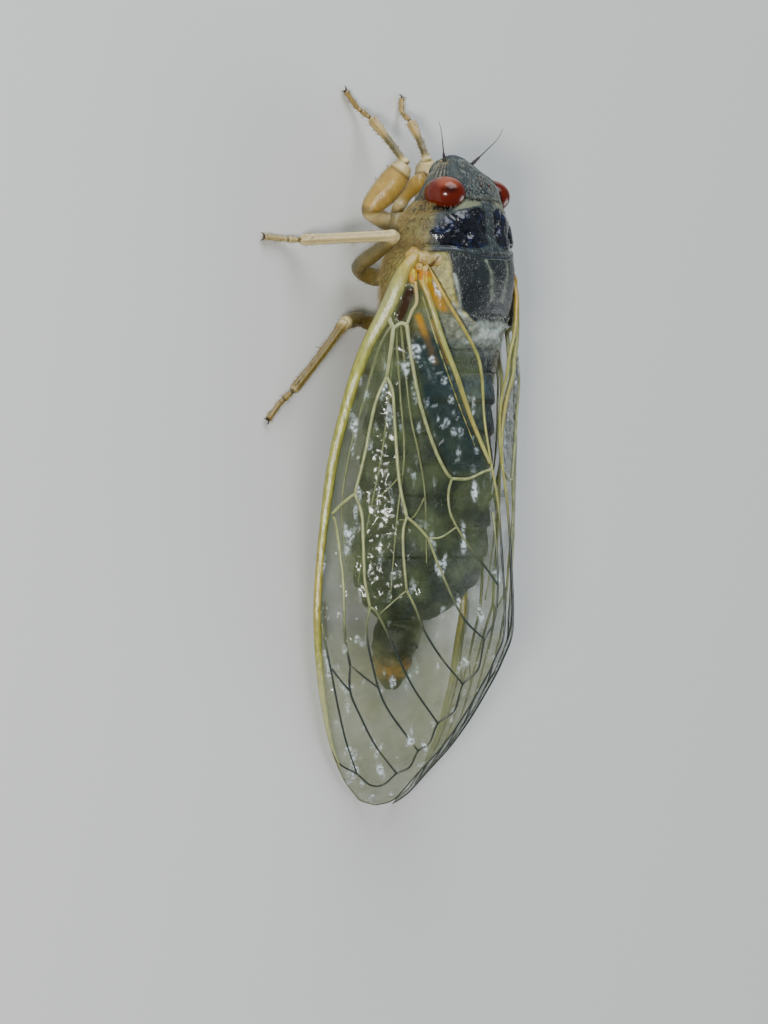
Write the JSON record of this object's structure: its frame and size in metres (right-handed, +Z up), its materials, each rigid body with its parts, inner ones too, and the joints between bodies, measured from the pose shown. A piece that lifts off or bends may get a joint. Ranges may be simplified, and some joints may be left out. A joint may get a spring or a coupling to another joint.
{
  "type": "periodical cicada",
  "caption": "Still life-size periodical cicada, just moulted, standing with its clear veined wings folded like a roof over the body.",
  "frame": {"origin": "bottom centre of the whole bounding box, on the floor that the feet stand on", "axes": "-Y toward the head, +Y toward the wing tips, +Z up, +X the animal's left"},
  "size_m": [0.0244, 0.0442, 0.0099],
  "materials": {
    "head": "satin, finely downy",
    "eye": "glossy",
    "antenna": "satin",
    "thorax": "satin",
    "abdomen": "satin",
    "wing": "clear and glossy, veins yellow green",
    "leg": "satin"
  },
  "bodies": {
    "root": {"head": "head", "eye_left": "eye", "eye_right": "eye", "antenna_left": "antenna", "antenna_right": "antenna", "beak": "leg", "pronotum": "thorax", "mesothorax": "thorax", "metathorax": "thorax", "abdomen": "abdomen", "tail_tip": "abdomen", "forewing_left": "wing", "forewing_right": "wing", "hindwing_left": "wing", "hindwing_right": "wing", "femur_fore_left": "leg", "tibia_fore_left": "leg", "tarsus_fore_left": "leg", "femur_fore_right": "leg", "tibia_fore_right": "leg", "tarsus_fore_right": "leg", "femur_mid_left": "leg", "tibia_mid_left": "leg", "tarsus_mid_left": "leg", "femur_mid_right": "leg", "tibia_mid_right": "leg", "tarsus_mid_right": "leg", "femur_hind_left": "leg", "tibia_hind_left": "leg", "tarsus_hind_left": "leg", "femur_hind_right": "leg", "tibia_hind_right": "leg", "tarsus_hind_right": "leg"}
  },
  "joints": []
}
